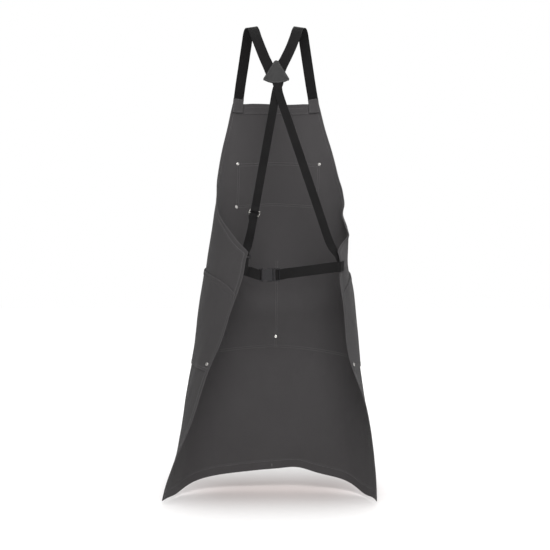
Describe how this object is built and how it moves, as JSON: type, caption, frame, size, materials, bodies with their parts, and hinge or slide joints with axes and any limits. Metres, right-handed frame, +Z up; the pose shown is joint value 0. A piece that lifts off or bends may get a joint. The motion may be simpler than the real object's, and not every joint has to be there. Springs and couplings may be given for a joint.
{
  "type": "artist smock apron",
  "caption": "Cross-back canvas work apron, draped as worn, with a bib, a chest pocket, a hip pocket, crossed webbing straps, a back patch and a side-release waist buckle.",
  "frame": {"origin": "midway between the undersides of the two straps where they rest on top of the shoulders", "axes": "+X to the wearer's right, +Y to the wearer's front, +Z up"},
  "size_m": [0.5281, 0.2479, 1.171],
  "materials": {
    "canvas": "charcoal cotton canvas, plain weave, matt, with hemmed and stitched edges",
    "webbing": "black woven webbing, slight sheen",
    "patch": "smooth dark grey coated patch with a stitched edge",
    "plastic": "satin moulded black plastic",
    "metal": "polished nickel plate",
    "thread": "light grey polyester thread"
  },
  "bodies": {
    "apron": {"apron_panel": "canvas", "bib_facing": "canvas", "chest_pocket": "canvas", "hip_pocket": "canvas", "strap_tab_left": "canvas", "strap_tab_right": "canvas", "shoulder_strap_left": "webbing", "shoulder_strap_right": "webbing", "back_patch_outer": "patch", "back_patch_inner": "patch", "lower_strap_left": "webbing", "lower_strap_right": "webbing", "adjuster_return": "webbing", "side_ring": "plastic", "side_ring_tab": "webbing", "belt_left": "webbing", "belt_right": "webbing", "belt_tail": "webbing", "buckle_socket": "plastic", "chest_rivets": "metal", "chest_rivet_burrs": "metal", "hip_rivets": "metal", "hip_rivet_burrs": "metal", "hem_bartacks": "thread"},
    "plug": {"buckle_plug": "plastic"},
    "prong_upper": {"plug_prong_upper": "plastic"},
    "prong_lower": {"plug_prong_lower": "plastic"},
    "slider": {"strap_slider": "metal"}
  },
  "joints": [
    {"name": "buckle_release", "type": "slide", "parent": "apron", "child": "plug", "axis": [1, 0, 0], "range_m": [0, 0.03], "deforming": ["belt_right", "belt_tail"]},
    {"name": "prong_squeeze_upper", "type": "hinge", "parent": "plug", "child": "prong_upper", "pos_m": [-0.0068, -0.056, -0.6033], "axis": [0, 1, 0], "range_deg": [-7, 0], "stiffness_Nm_per_rad": 0.05},
    {"name": "prong_squeeze_lower", "type": "hinge", "parent": "plug", "child": "prong_lower", "pos_m": [-0.0068, -0.056, -0.6237], "axis": [0, 1, 0], "range_deg": [0, 7], "stiffness_Nm_per_rad": 0.05},
    {"name": "slider_slide", "type": "slide", "parent": "apron", "child": "slider", "axis": [0.1846, -0.188, 0.9647], "range_m": [-0.035, 0.1], "deforming": ["adjuster_return", "lower_strap_left"]}
  ],
  "couplings": [
    {"joint": "prong_squeeze_lower", "follows": "prong_squeeze_upper", "ratio": -1}
  ]
}
